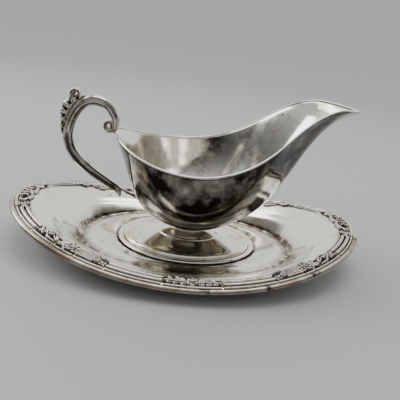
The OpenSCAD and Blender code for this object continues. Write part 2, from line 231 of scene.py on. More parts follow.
def oval_stack(name: str, rings: Sequence[Triple], smooth: int = 1) -> bpy.types.Object:
    """Raises a piece from an oval: each ring is extruded from the one before, then scaled and moved.

    Args:
        name: the piece's name.
        rings: half length, half width and height of each ring, in millimetres. A last ring like the
            first closes the section.
        smooth: levels of subdivision.

    Returns:
        The new piece.
    """
    deselect()
    bpy.ops.mesh.primitive_circle_add(vertices=ROUND // 2, radius=1.0)
    obj = bpy.context.object
    obj.name = obj.data.name = name
    bpy.ops.object.mode_set(mode="EDIT")
    bpy.ops.mesh.select_all(action="SELECT")
    a, b, z = rings[0]
    bpy.ops.transform.resize(value=(a * MM, b * MM, 1), center_override=(0, 0, 0))
    bpy.ops.transform.translate(value=(0, 0, z * MM))
    for a1, b1, z1 in rings[1:]:
        bpy.ops.mesh.extrude_region_move(TRANSFORM_OT_translate={"value": (0, 0, (z1 - z) * MM)})
        bpy.ops.transform.resize(value=(a1 / a, b1 / b, 1), center_override=(0, 0, 0))
        a, b, z = a1, b1, z1
    bpy.ops.object.mode_set(mode="OBJECT")
    close_up(obj)
    refine(obj, smooth)
    return obj


def refine(obj: bpy.types.Object, levels: int) -> None:
    """Smooths a piece with an applied subdivision surface.

    Args:
        obj: the piece.
        levels: levels of subdivision.
    """
    deselect()
    obj.select_set(True)
    bpy.context.view_layer.objects.active = obj
    bpy.ops.object.modifier_add(type="SUBSURF")
    obj.modifiers[-1].levels = obj.modifiers[-1].render_levels = levels
    bpy.ops.object.modifier_apply(modifier=obj.modifiers[-1].name)


def swept_bar(
    name: str,
    line: np.ndarray,
    thick: np.ndarray,
    wide: np.ndarray,
    grooves: Sequence[tuple[float, float, float, float, float]] = (),
    facets: int = 56,
) -> bpy.types.Object:
    """Sweeps a rounded bar along a line in the plane of the handle.

    Args:
        name: the piece's name.
        line: n by 3 points in millimetres.
        thick: half thickness in the plane at each point.
        wide: half width across the plane at each point.
        grooves: place across the flank from -1, inside, to 1, outside, depth and width of each groove, in
            shares of the half width, then where along the bar it starts and ends, from 0 to 1.
        facets: points round the section.

    Returns:
        The new piece, with the depth of its grooves as the attribute "hollow".
    """
    along = unit(np.gradient(line, axis=0))
    out = np.column_stack([along[:, 2], np.zeros(len(line)), -along[:, 0]])
    turn = np.arange(facets) * 2 * math.pi / facets
    c, q = np.cos(turn), np.sin(turn)
    c, q = np.sign(c) * np.abs(c) ** 0.8, np.sign(q) * np.abs(q) ** 0.8
    rings, hollow = [], []
    for p, o, t, w, run in zip(line, out, thick, wide, np.linspace(0, 1, len(line))):
        cut = np.zeros(facets)
        for place, depth, width, start, end in grooves:
            fade = smooth_step(np.array((run - start) / 0.04)) * smooth_step(np.array((end - run) / 0.04))
            cut += fade * depth * np.exp(-(((c - place) / width) ** 2)) * (np.abs(q) > 0.2)
        rings.append(p + o * c[:, None] * t + np.array([0, 1, 0]) * (q * (1 - cut))[:, None] * w)
        hollow.append(np.clip(cut * 4, 0, 0.85))
    return stacked_sheet(name, rings, {"hollow": hollow})


# ---------------------------------------------------------------- finishes


def linear(hex_colour: str) -> tuple[float, float, float, float]:
    """Turns an sRGB hex colour into Blender's linear one.

    Args:
        hex_colour: a colour such as #c0c0c0.

    Returns:
        Red, green, blue and alpha.
    """
    parts = [int(hex_colour[k : k + 2], 16) / 255 for k in (1, 3, 5)]
    red, green, blue = [c / 12.92 if c <= 0.04045 else ((c + 0.055) / 1.055) ** 2.4 for c in parts]
    return red, green, blue, 1.0


def add(
    tree: bpy.types.NodeTree, kind: str, sets: Optional[dict] = None, **links: bpy.types.NodeSocket
) -> bpy.types.Node:
    """Adds a node with its settings and links.

    Args:
        tree: the node tree.
        kind: the node's type name.
        sets: node properties, or input names with their values.
        links: input names, with _ for a space, or i and the input's number, and the sockets that feed them.

    Returns:
        The node.
    """
    node = tree.nodes.new(kind)
    for key, value in (sets or {}).items():
        if isinstance(key, str) and hasattr(node, key):
            setattr(node, key, value)
        else:
            node.inputs[key].default_value = value
    for key, socket in links.items():
        name = key.replace("_", " ")
        target = node.inputs[int(key[1:])] if key[0] == "i" and key[1:].isdigit() else node.inputs[name]
        tree.links.new(socket, target)
    return node


@dataclass(frozen=True)
class SilverPlate:
    """Silver electroplate on brass: bright where rubbing keeps it clean, brown to black where it is tarnished
    and where painted shade darkens it.

    Attributes:
        name: the finish's name.
        bright: colour of clean silver.
        warm: colour of the thin yellow-brown film of light tarnish.
        dark: colour of the heavy sulphide film.
        warm_share: how much of the surface the light tarnish covers.
        dark_share: how much the heavy tarnish covers.
        patch_mm: size of a patch of tarnish.
        rough: lowest and highest roughness.
        scratch: strength of the fine scratches.
        cavity: how strongly the hollows turn black.
        stain_and_painted_light: how strongly the painted tarnish, painted shade and painted highlights show.
        stain_and_painted_light_mm: size of the breaks in the tarnish, shade and highlights that are painted.
    """

    name: str
    bright: str = "#d9d6cc"
    warm: str = "#9b8559"
    dark: str = "#37322b"
    warm_share: float = 0.3
    dark_share: float = 0.1
    patch_mm: float = 14.0
    rough: Point = (0.08, 0.22)
    scratch: float = 0.03
    cavity: float = 0.0
    stain_and_painted_light: float = 0.0
    stain_and_painted_light_mm: float = 3.0

    def build(self) -> bpy.types.Material:
        """Makes the material."""
        made = bpy.data.materials.new(self.name)
        made.use_nodes = True
        tree = made.node_tree
        tree.nodes.clear()
        where = add(tree, "ShaderNodeTexCoord").outputs["Object"]

        def cloud(
            size_mm: float, detail: float, low: float, high: float, seed: float
        ) -> bpy.types.NodeSocket:
            """Adds soft patches of a size: 0 where the noise is under low, 1 where it is over high."""
            shift = add(tree, "ShaderNodeMapping", {"Location": (seed, seed * 0.7, seed * 1.3)}, Vector=where)
            noise = add(
                tree,
                "ShaderNodeTexNoise",
                {"Scale": 1 / (size_mm * MM), "Detail": detail, "Roughness": 0.6},
                Vector=shift.outputs[0],
            )
            spread = {"From Min": low, "From Max": high, "clamp": True}
            return add(tree, "ShaderNodeMapRange", spread, Value=noise.outputs["Fac"]).outputs[0]

        def mixed(share: bpy.types.NodeSocket, under: object, over: str) -> bpy.types.NodeSocket:
            """Lays the colour over on the colour or socket under, by a share."""
            node = add(tree, "ShaderNodeMix", {"data_type": "RGBA"})
            tree.links.new(share, node.inputs[0])
            if isinstance(under, str):
                node.inputs[6].default_value = linear(under)
            else:
                tree.links.new(under, node.inputs[6])
            node.inputs[7].default_value = linear(over)
            return node.outputs[2]

        def joined(
            first: bpy.types.NodeSocket, factor: object, operation: str = "MULTIPLY"
        ) -> bpy.types.NodeSocket:
            """Joins a socket with a number or another socket, and keeps the result within 0 and 1."""
            node = add(tree, "ShaderNodeMath", {"operation": operation, "use_clamp": True})
            tree.links.new(first, node.inputs[0])
            if isinstance(factor, (int, float)):
                node.inputs[1].default_value = factor
            else:
                tree.links.new(factor, node.inputs[1])
            return node.outputs[0]

        cover = 0.3 * self.warm_share
        film = joined(cloud(self.patch_mm, 6, 0.62 - cover, 0.8 - cover, 0.3), 0.85)
        colour = mixed(film, self.bright, self.warm)
        low, high = 0.66 - 0.25 * self.dark_share, 0.74 - 0.2 * self.dark_share
        dark = cloud(self.patch_mm * 0.6, 9, low, high, 0.9)
        if self.cavity:
            hollow = add(tree, "ShaderNodeAttribute", {"attribute_name": "hollow"}).outputs["Fac"]
            dark = joined(dark, joined(hollow, self.cavity), "MAXIMUM")
        # The painted attribute mixes real tarnish with painted shade, and is lowered where a painted
        # highlight lies.
        if self.stain_and_painted_light:
            stain_and_painted_light = add(tree, "ShaderNodeAttribute", {"attribute_name": "stain_and_painted_light"}).outputs["Fac"]
            broken = joined(joined(stain_and_painted_light, 1.5), cloud(self.stain_and_painted_light_mm, 9, 0.3, 0.55, 0.5))
            dark = joined(dark, joined(broken, self.stain_and_painted_light), "MAXIMUM")
        colour = mixed(dark, colour, self.dark)
        grain = cloud(self.patch_mm * 0.35, 8, 0.3, 0.7, 1.7)
        ends = {"To Min": self.rough[0], "To Max": self.rough[1]}
        rough = add(tree, "ShaderNodeMapRange", ends, Value=grain).outputs[0]
        fine = add(tree, "ShaderNodeTexNoise", {"Scale": 1 / (0.8 * MM), "Detail": 4.0}, Vector=where)
        depth = {"Strength": self.scratch, "Distance": 0.2 * MM}
        bump = add(tree, "ShaderNodeBump", depth, Height=fine.outputs["Fac"])
        shader = add(
            tree,
            "ShaderNodeBsdfPrincipled",
            {"Metallic": 1.0},
            Base_Color=colour,
            Roughness=rough,
            Normal=bump.outputs[0],
        )
        add(tree, "ShaderNodeOutputMaterial", Surface=shader.outputs[0])
        return made


def dress(
    obj: bpy.types.Object, body: Body, slot: Slot, *finishes: bpy.types.Material, instead_of: Sequence[str]
) -> None:
    """Gives a piece its finishes and tells the frame what it is.

    Args:
        obj: the piece.
        body: the body it rides on.
        slot: the record's slot that its finish stands for; not used.
        finishes: materials in the order of the mesh's material indices.
        instead_of: CAD nodes that it replaces.
    """
    for finish in finishes:
        obj.data.materials.append(finish)
    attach(obj, body.value)
    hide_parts(*instead_of)
    LOG.info("%s: %d faces on %s", obj.name, len(obj.data.polygons), body.value)


# Electroplate with a soft, even gleam: brown tarnish has settled along the floor's edge, and painted shade
# darkens the step against the border and a ring round the foot.
TRAY = SilverPlate(
    "satin_silver_plate", bright="#dcdacf", warm="#b9ae8c", dark="#4e3826", rough=(0.09, 0.2),
    patch_mm=22, warm_share=0.15, dark_share=0.0, stain_and_painted_light=0.95, stain_and_painted_light_mm=5,
)
# Plate that hands and cloths keep clean: bright lines on the rim wire, the collar and the base ring.
RUBBED = SilverPlate("rubbed_silver_plate", rough=(0.1, 0.2), warm_share=0.1, dark_share=0.0)
# Plate worn thin on the rolled edge: the brass underneath shows through in long brown stretches. Its silver
# is also painted darker, with black patches, as a painted dark reflection of the shadowed floor in front.
EDGE = SilverPlate(
    "worn_edge_silver_with_painted_reflection", bright="#bab5aa", warm="#7a6149", dark="#2b2019", rough=(0.08, 0.2),
    warm_share=0.6, dark_share=0.3, patch_mm=34,
)
# Heavily tarnished plate on the bowl's outside: nearly black in clouds, still mirror smooth. A painted
# highlight leaves one patch of the near side lighter.
BOWL_OUTSIDE = SilverPlate(
    "tarnished_silver_plate_with_painted_highlight", bright="#a39d93", warm="#5e5346", dark="#1c1815", rough=(0.05, 0.14),
    warm_share=0.7, dark_share=0.1, patch_mm=26, stain_and_painted_light=1.0, stain_and_painted_light_mm=16,
)
# Polished plate on the bowl's inside, with a light warm film.
BOWL_INSIDE = SilverPlate(
    "polished_silver_plate", bright="#d6d2c8", warm="#958a76", rough=(0.08, 0.2),
    warm_share=0.3, dark_share=0.0,
)
# Cast silver of the border: rubbed bright on the crests and black in the hollows.
CAST = SilverPlate(
    "cast_silver_plate", bright="#c6c1b7", dark="#0d0b09", rough=(0.12, 0.24),
    warm_share=0.3, dark_share=0.0, patch_mm=5, cavity=1.0,
)
# Cast silver that is held: darker, with brown between the reeds.
HANDLE = SilverPlate(
    "worn_handle_silver", bright="#c9c5bb", warm="#6f6046", dark="#120f0c", rough=(0.1, 0.22),
    warm_share=0.4, dark_share=0.1, patch_mm=8, cavity=1.0,
)
# Polished plate of the foot, with a yellow film.
FOOT = SilverPlate(
    "polished_foot_silver", warm="#b09a68", rough=(0.09, 0.18), warm_share=0.35, dark_share=0.05
)


# ---------------------------------------------------------------- underplate


@dataclass
class Underplate:
    """The dished oval sheet and its rolled edge. Millimetres."""

    half: Point = (127.0, 80.0)
    flange_h: float = 9.2
    end_rise: float = 17.8
    sheet: float = 1.4
    border: float = 12.2
    edge_d: float = 3.6
    floor: Point = (80.0, 49.0)
    crease: Point = (96.0, 57.0)
    crease_share: float = 0.55
    bead: Triple = (52.8, 38.3, 0.7)

    def flange_z(self, angle: np.ndarray) -> np.ndarray:
        """Height of the flange at an angle round the oval."""
        return self.flange_h + self.end_rise * np.cos(angle) ** 2

    def wall(self, v: np.ndarray) -> np.ndarray:
        """The wall from the floor's edge to the border: steep as far as the crease, then gentler.

        Args:
            v: 0 at the floor's edge, 1 at the crease and 2 at the border.

        Returns:
            The share of the flange's height.
        """
        v = np.asarray(v, dtype=float)
        upper = self.crease_share + (v - 1) * (1 - self.crease_share)
        rounding = 0.03 * np.exp(-(((v - 1) / 0.14) ** 2))
        return np.where(v < 1, v * self.crease_share, upper) - rounding

    def axes(self, v: np.ndarray) -> tuple[np.ndarray, np.ndarray]:
        """Half length and half width of the wall's oval at v."""
        v = np.asarray(v, dtype=float)
        ends = ((self.floor[k], self.crease[k], self.half[k] - self.border) for k in (0, 1))
        return tuple(np.interp(v, (0, 1, 2), row) for row in ends)

    def top(self, angle: np.ndarray, inward: np.ndarray) -> np.ndarray:
        """A point of the border's top or of the wall below it.

        Args:
            angle: angle round the oval in radians.
            inward: distance from the plate's outline in millimetres.

        Returns:
            n by 3 places.
        """
        c, q = np.cos(angle), np.sin(angle)
        wide_x, wide_y = (self.half[k] - self.border - self.crease[k] for k in (0, 1))
        share = self.wall(np.clip(2 - (inward - self.border) / np.hypot(wide_x * c, wide_y * q), 1, 2))
        z = self.sheet + (self.flange_z(angle) - self.sheet) * share
        return np.column_stack([(self.half[0] - inward) * c, (self.half[1] - inward) * q, z])

    def rings(self) -> list[tuple[float, float, float, float]]:
        """The sheet's top from its edge to its middle.

        Returns:
            Half length, half width, height above the floor and share of the flange's height of each ring.
        """
        (a, b), w, (fa, fb) = self.half, self.border, self.floor
        rows = [(a - k, b - k, 0.0, 1.0) for k in (0.5 * self.edge_d, 0.6 * w, w - 0.8, w)]
        for v in (*np.linspace(1.93, 1.4, 7), *np.linspace(1.35, 0.65, 19), *np.linspace(0.6, 0.04, 8), 0.0):
            x, y = self.axes(v)
            rows.append((float(x), float(y), 0.0, float(self.wall(v))))
        scribed_line = ((0.4, 0.12), (1.0, 0.12), (1.6, 0), (8, 0))
        rows += [(fa - k, fb - k, -z, 0.0) for k, z in scribed_line]
        ba, bb, bh = self.bead
        bead = ((2.2, 0), (1.7, 0.7), (1.1, 1), (0.5, 0.7), (0, 0))
        rows += [(ba + k, bb + k, bh * z, 0.0) for k, z in bead]
        return rows + [(ba * k, bb * k, 0.0, 0.0) for k in (0.7, 0.4, 0.15, 0.0)]

    def build(self, silver: bpy.types.Material, edge_silver: bpy.types.Material) -> None:
        """Makes the sheet and its rolled edge.

        Args:
            silver: the sheet's finish.
            edge_silver: the rolled edge's finish.
        """
        angle = np.arange(ROUND) * 2 * math.pi / ROUND
        c, q, rise = np.cos(angle), np.sin(angle), self.flange_z(angle) - self.sheet
        top, under = [], []
        for a, b, up, share in self.rings():
            top.append(np.column_stack([a * c, b * q, self.sheet + up + share * rise]))
        for ring in top[::-1]:
            under.append(np.column_stack([ring[:, :2], np.maximum(ring[:, 2] - self.sheet, 0)]))
        stain_and_painted_light = [self.stain_and_painted_light(ring) for ring in top] + [np.zeros(ROUND)] * len(under)
        sheet = stacked_sheet("underplate_sheet", top + under + top[:1], {"stain_and_painted_light": stain_and_painted_light + stain_and_painted_light[:1]})
        dress(sheet, Body.UNDERPLATE, Slot.TRAY, silver, instead_of=["underplate"])
        r = self.edge_d / 2
        rings = []
        for turn in np.linspace(0, 2 * math.pi, 25):
            w, h = r - r * math.cos(turn), r * math.sin(turn) - self.sheet / 2
            x, y = (self.half[0] - w) * c, (self.half[1] - w) * q
            rings.append(np.column_stack([x, y, self.flange_z(angle) + h]))
        wire = stacked_sheet("rolled_edge_wire", rings)
        dress(wire, Body.UNDERPLATE, Slot.EDGE, edge_silver, instead_of=["rolled_edge"])

    def stain_and_painted_light(self, ring: np.ndarray) -> np.ndarray:
        """Where it darkens: brown tarnish at the floor's edge, and painted shade in the step against the
        border and in a ring round the foot.

        Args:
            ring: n by 3 places of the sheet's top.

        Returns:
            Strength of the tarnish and painted shade at each place, 0 to 1.
        """
        x, y = ring[:, 0], ring[:, 1]

        def near(a: float, b: float, width: float) -> np.ndarray:
            """Gives 1 on an oval, falling off over a width."""
            off = (np.hypot(x / a, y / b) - 1) * (a + b) / 2
            return np.exp(-((off / width) ** 2))

        w = self.border
        ends = np.abs(x) / np.maximum(np.hypot(x, y), 1e-6)
        return np.clip(
            near(self.floor[0] + 0.3, self.floor[1] + 0.3, 1.6) * (0.4 + 0.6 * ends)
            + 0.35 * near(*self.floor, 4.0) * ends**4
            # Painted shade: a dark line in the step where the wall meets the border.
            + near(self.half[0] - w, self.half[1] - w, 0.8)
            # Painted shade: a dark ring round the boat's foot, on the bead where it stands.
            + 0.8 * near(self.bead[0], self.bead[1], 1.6),
            0,
            1,
        )


class Relief:
    """A height map over a stretch of border, drawn stroke by stroke. Millimetres.

    Attributes:
        s: place along the border, 0 in the middle of the casting, for each point of the map.
        w: distance in from the plate's outline.
        h: height over the border.
    """

    # Where the castings' outer edge lies, in from the plate's outline
    OUTSIDE = 3.3
    # Height, under the plate's surface, of what holds no ornament
    BELOW = -0.35

    def __init__(self, length: float, reach: float, step: float = 0.24) -> None:
        """Lays out the map.

        Args:
            length: length along the border.
            reach: how far in from the plate's outline it goes.
            step: spacing of its points.
        """
        self.columns = int(round(length / step))
        self.rows = int(round((reach - self.OUTSIDE) / step))
        along = np.linspace(-length / 2, length / 2, self.columns + 1)
        self.s, self.w = np.meshgrid(along, np.linspace(self.OUTSIDE, reach, self.rows + 1))
        self.h = np.full(self.s.shape, self.BELOW)

    def lay(self, height: np.ndarray) -> None:
        """Keeps the higher of the map and a new height."""
        self.h = np.maximum(self.h, height)

    def ground(self, height: float, inner: float, sway: float = 0.0) -> None:
        """Lays the flat ground of the casting in to a distance that may sway.

        Args:
            height: height of the ground.
            inner: how far in from the plate's outline it goes.
            sway: how much that distance sways along the casting.
        """
        edge = inner + sway * np.cos(self.s * 2 * math.pi / max(1.0, np.ptp(self.s)))
        self.lay(np.where(self.w < edge, height, self.BELOW))

    def stroke(
        self, points: Sequence[Point], radius: float, height: float, tip: float = 1.0, hollow: float = 0.0
    ) -> None:
        """Draws a rounded ridge along a smooth curve.

        Args:
            points: places along and in from the outline.
            radius: half width at the start.
            height: height at the middle of the ridge.
            tip: half width at the end as a share of that at the start.
            hollow: depth of a groove along the ridge, as a share of its height.
        """
        line = np.array(points, float)
        if len(points) > 2:
            line = open_curve(np.column_stack([line, np.zeros(len(line))]), 8 * len(points))[:, :2]
        best = np.full(self.s.shape, 9.0)
        for k in range(len(line) - 1):
            p, d = line[k], line[k + 1] - line[k]
            t = np.clip(((self.s - p[0]) * d[0] + (self.w - p[1]) * d[1]) / max(1e-9, d @ d), 0, 1)
            share = 1 + (tip - 1) * (k + t) / (len(line) - 1)
            off = np.hypot(self.s - p[0] - t * d[0], self.w - p[1] - t * d[1])
            best = np.minimum(best, off / (radius * share))
        dome = np.sqrt(np.clip(1 - best**2, 0, 1))
        ridge = height * (0.25 + 0.75 * dome - hollow * np.exp(-((best / 0.35) ** 2)))
        self.lay(np.where(best < 1, ridge, self.BELOW))

    def dome(self, s: float, w: float, radius: float, height: float) -> None:
        """Draws a round boss.

        Args:
            s: its place along the border.
            w: its distance in.
            radius: its radius.
            height: height of its top.
        """
        best = np.hypot(self.s - s, self.w - w) / radius
        boss = height * (0.3 + 0.7 * np.sqrt(np.clip(1 - best**2, 0, 1)))
        self.lay(np.where(best < 1, boss, self.BELOW))

    def petal(
        self, s: float, w: float, aim: float, length: float, width: float, height: float, curl: float = 0.25
    ) -> None:
        """Draws a petal or leaf from its root, with a crease along its middle and a raised rim.

        Args:
            s: its root's place along the border.
            w: its root's distance in.
            aim: direction in degrees, 0 along the border and 90 inwards.
            length: length from root to tip.
            width: greatest half width.
            height: height of its rim.
            curl: depth of the crease as a share of the height.
        """
        c, q = math.cos(math.radians(aim)), math.sin(math.radians(aim))
        x = ((self.s - s) * c + (self.w - w) * q) / length
        y = (-(self.s - s) * q + (self.w - w) * c) / width
        x = np.clip(x, 0, 1)
        outline = np.sqrt(np.clip(x * (1 - x) * 4, 0, 1)) ** 1.2 * (0.8 + 0.4 * x)
        across = np.abs(y) / np.maximum(outline, 1e-3)
        inside = (across < 1) & (x > 0) & (x < 1)
        crease = 1 - curl * np.exp(-((across / 0.3) ** 2))
        body = height * (0.55 + 0.45 * x) * np.sqrt(np.clip(1 - across**4, 0, 1)) * crease
        self.lay(np.where(inside, body, self.BELOW))

    def spiral(
        self, s: float, w: float, radius: float, start: float, turns: float, height: float, bar: float = 0.62
    ) -> None:
        """Draws a volute that winds in from a radius to its eye.

        Args:
            s: the eye's place along the border.
            w: the eye's distance in.
            radius: radius at the outer end.
            start: direction of the outer end in degrees.
            turns: turns to the eye, negative for the other way round.
            height: height of the ridge.
            bar: half width of the ridge.
        """
        steps = np.linspace(0, 1, 14)
        angle = np.radians(start) + steps * turns * 2 * math.pi
        r = radius * (1 - 0.8 * steps)
        self.stroke(list(zip(s + r * np.cos(angle), w + r * np.sin(angle))), bar, height, 0.8)
        self.dome(s, w, bar * 1.1, height * 1.05)

    def hollows(self) -> np.ndarray:
        """How deep each point lies between its neighbours, 0 to 1, for the black in the hollows."""
        soft = self.h.copy()
        for _ in range(8):
            for axis in (0, 1):
                soft = (np.roll(soft, 1, axis) + 2 * soft + np.roll(soft, -1, axis)) / 4
        return np.clip((soft - self.h) / 0.14 + (1.65 - self.h) / 0.9, 0, 1)


class Casting(Enum):
    """The castings of the border: name of the CAD node, start and end in degrees from the plate's end."""

    CARTOUCHE = ("cartouche", -16.5, 16.5)
    END_REEDING = ("end_reeding", 16.5, 35.0)
    C_SCROLL = ("c_scroll", 35.0, 45.5)
    ROSE = ("rose", 45.5, 54.0)
    LEAF_SCROLL = ("leaf_scroll", 54.0, 64.5)
    SIDE_REEDING = ("side_reeding", 64.5, 81.5)
    FLOWER_SPRAY = ("flower_spray", 81.5, 98.5)


@dataclass
class Border:
    """The castings soldered round the underplate's flange."""

    plate: Underplate
    # How far in from the plate's outline a relief is drawn
    reach: float = 16.0
    # Height of an ordinary ornament over the border
    top: float = 2.3
    # Seam between two castings, in degrees
    seam: float = 0.3

    def length(self, start: float, end: float) -> float:
        """Length in millimetres of a stretch of the border's middle line, from its angles in degrees.

        Args:
            start: angle where the stretch starts.
            end: angle where it ends.

        Returns:
            The length.
        """
        t = np.radians(np.linspace(start, end, 40))
        x, y = (self.plate.half[0] - 7.5) * np.cos(t), (self.plate.half[1] - 7.5) * np.sin(t)
        return float(np.hypot(np.diff(x), np.diff(y)).sum())

    def drawn(self, kind: Casting) -> Relief:
        """Draws the relief of one kind of casting.

        Args:
            kind: the kind of casting.

        Returns:
            The finished height map.
        """
        _, start, end = kind.value
        relief = Relief(self.length(start, end) - 0.3, self.reach)
        half = float(relief.s.max())
        getattr(self, "draw_" + kind.value[0])(relief, half)
        return relief

    def reeds(self, relief: Relief, start: float, end: float) -> None:
        """Draws the two broad reeds and the fine one outside them, between two places.

        Args:
            relief: the map to draw on.
            start: where the reeds start along it.
            end: where they end.
        """
        for w, r, h in ((4.3, 0.7, 1.2), (6.9, 1.3, 2.1), (10.3, 1.25, 1.9)):
            relief.stroke([(start, w), (end, w)], r, h)
        relief.stroke([(start, 12.5), (end, 12.5)], 0.5, 0.9)

    def draw_end_reeding(self, relief: Relief, half: float) -> None:
        """Reeds whose ends by the cartouche turn back into each other.

        Args:
            relief: the map to draw on.
            half: half the casting's length.
        """
        relief.ground(0.2, 12.9)
        self.reeds(relief, -half + 3.2, half + 2)
        turned = ((4, 7.0), (1.8, 7.6), (1.0, 9.0), (2.0, 10.3), (4, 10.6))
        relief.stroke([(s - half, w) for s, w in turned], 1.1, 1.9)
        relief.stroke([(-half - 1, 4.3), (-half + 4, 4.4)], 0.75, 1.2)
        relief.stroke([(-half - 1, 12.6), (-half + 4, 12.6)], 0.6, 0.8)

    def draw_side_reeding(self, relief: Relief, half: float) -> None:
        """Reeds that run out between the leaf scroll and the flower spray.

        Args:
            relief: the map to draw on.
            half: half the casting's length.
        """
        relief.ground(0.2, 12.9)
        self.reeds(relief, -half - 2, half + 2)

    def draw_c_scroll(self, relief: Relief, half: float) -> None:
        """A small flower, a volute, and a fluted arm that sweeps on to the rose.

        Args:
            relief: the map to draw on.
            half: half the casting's length.
        """
        relief.ground(0.2, 12.9)
        relief.stroke([(-half - 1, 4.4), (half + 1, 4.4)], 0.75, 1.1)
        relief.stroke([(-half - 1, 7.0), (-half + 1.4, 7.0)], 1.45, 1.9, 0.4)
        relief.stroke([(-half - 1, 10.6), (-half + 1.4, 10.7)], 1.5, 1.7, 0.4)
        for k in range(5):
            relief.petal(-half + 4.2, 8.9, 72 * k + 18, 2.7, 1.05, self.top * 0.95)
        relief.dome(-half + 4.2, 8.9, 0.75, self.top)
        relief.spiral(0.6, 10.6, 2.5, -150, -1.3, self.top)
        relief.stroke([(-1.6, 9.4), (0.8, 7.4), (4.2, 6.4), (half + 1, 6.0)], 0.8, self.top * 0.9)
        relief.stroke([(0.6, 13.2), (3.4, 12.6), (5.6, 10.6), (half + 1, 8.6)], 0.85, self.top)
        relief.stroke([(3.2, 10.6), (5.2, 9.2), (half + 1, 7.4)], 0.6, self.top * 0.8)

    def draw_rose(self, relief: Relief, half: float) -> None:
        """A full rose that stands in over the wall, between pointed leaves.

        Args:
            relief: the map to draw on.
            half: half the casting's length.
        """
        relief.ground(0.2, 12.6)
        relief.stroke([(-half - 1, 4.4), (half + 1, 4.4)], 0.75, 1.1)
        for aim in (-20, 200, 20, 160, 55, 125, 90):
            relief.petal(0, 10.4, aim, 8.0 if aim not in (55, 125, 90) else 5.8, 2.1, self.top * 0.75)
        for k in range(6):
            relief.petal(0, 10.4, 60 * k + 30, 5.1, 2.3, self.top)
        for k in range(5):
            relief.petal(0, 10.4, 72 * k, 3.1, 1.5, self.top * 1.25)
        relief.dome(0, 10.4, 1.2, self.top * 1.35)

    def draw_leaf_scroll(self, relief: Relief, half: float) -> None:
        """A fluted leaf, then a small scroll with a floret.

        Args:
            relief: the map to draw on.
            half: half the casting's length.
        """
        relief.ground(0.2, 12.9)
        relief.stroke([(-half - 1, 4.4), (half + 1, 4.4)], 0.75, 1.1)
        for k, (w0, w1) in enumerate(((6.0, 6.6), (7.6, 7.8), (9.4, 9.2), (11.2, 10.6), (12.8, 12.0))):
            flute = [(-half - 0.6, w0), (-half + 4.5, (w0 + w1) / 2 + 0.5), (1.2, w1 - 0.4)]
            relief.stroke(flute, 0.85, self.top * (0.8 + 0.05 * k), 0.6)
        relief.spiral(3.6, 9.4, 2.3, 160, 1.2, self.top)
        relief.stroke([(1.2, 10.0), (2.4, 12.2), (5.0, 12.8), (half + 1, 11.0)], 0.8, self.top, 0.7)
        for k in range(4):
            relief.petal(half - 2.2, 7.6, 90 * k + 40, 2.3, 0.95, self.top * 0.9)
        relief.dome(half - 2.2, 7.6, 0.7, self.top)

    def draw_flower_spray(self, relief: Relief, half: float) -> None:
        """A flower between pairs of leaves and buds on a trailing stem.

        Args:
            relief: the map to draw on.
            half: half the casting's length.
        """
        relief.ground(0.2, 12.9)
        relief.stroke([(-half - 1, 4.4), (half + 1, 4.4)], 0.75, 1.1)
        stem = [(-half - 1, 8.4), (-half + 7, 9.2), (0, 8.2), (half - 7, 9.2), (half + 1, 8.4)]
        relief.stroke(stem, 0.6, self.top * 0.7)
        leaves = (
            (3.2, 9.4, 20, 4.6), (3.4, 7.2, -18, 4.0), (7.4, 10.0, 40, 4.0),
            (8.2, 7.6, -25, 3.8), (12.0, 9.8, 25, 3.6), (12.6, 7.6, -15, 3.2),
        )
        for side in (-1, 1):
            for s, w, aim, size in leaves:
                toward = aim if side > 0 else 180 - aim
                relief.petal(side * s, w, toward, size, 1.15, self.top * 0.95)
            relief.dome(side * 7.0, 8.6, 1.0, self.top)
            relief.dome(side * 12.0, 8.6, 0.8, self.top * 0.9)
        for k in range(6):
            relief.petal(0, 8.7, 60 * k + 30, 3.5, 1.5, self.top)
        relief.dome(0, 8.7, 1.1, self.top * 1.2)

    def draw_cartouche(self, relief: Relief, half: float) -> None:
        """A sunk field crossed by curled fingers, a broad band outside it and two C-scroll ribbons inside.

        Args:
            relief: the map to draw on.
            half: half the casting's length.
        """
        relief.ground(0.12, 13.6, 0.5)
        relief.stroke([(-half - 1, 4.4), (half + 1, 4.4)], 1.25, 1.7)
        ribbon = ((0, 12.2), (2.6, 13.6), (7.0, 13.6), (11.2, 12.2), (13.8, 9.6), (13.6, 7.2), (12.0, 6.9))
        for side in (-1, 1):
            relief.stroke([(side * s, w) for s, w in ribbon], 1.15, self.top, 0.75, 0.25)
            for s0, lean in ((2.4, 0.6), (7.0, 1.0)):
                finger = ((-1.0, 6.0), (0.1, 6.6), (0.3, 7.8), (-lean, 9.4), (-0.2, 10.8), (0.9, 11.4))
                relief.stroke([(side * (s0 + s), w) for s, w in finger], 0.72, self.top * 1.1, 0.9)
            relief.dome(side * 12.4, 7.3, 0.9, self.top * 1.1)
            for w, aim, size in ((5.6, 6, 5.4), (7.8, 3, 6.4), (10.0, -3, 6.4), (12.2, -10, 5.0)):
                toward = aim if side > 0 else 180 - aim
                relief.petal(side * (half - 6.4), w, toward, size, 1.05, self.top * 0.85)
        relief.dome(0, 12.4, 1.2, self.top * 1.1)

    def lay_on(
        self, name: str, relief: Relief, middle: float, span: float, way: int
    ) -> bpy.types.Object:
        """Bends a relief round the border.

        Args:
            name: the piece's name.
            relief: the height map.
            middle: angle of its middle in degrees.
            span: angle that it covers in degrees.
            way: 1 if it runs the way the angle grows, or -1.

        Returns:
            The new piece.
        """
        hollow = relief.hollows()
        h = relief.h.copy()
        h[0, :] = h[-1, :] = h[:, 0] = h[:, -1] = -0.6

        def spot(u: np.ndarray, v: np.ndarray) -> tuple[np.ndarray, np.ndarray]:
            """Finds the row and column of the map for grid points u and v."""
            return np.rint(v * relief.rows).astype(int), np.rint(u * relief.columns).astype(int)

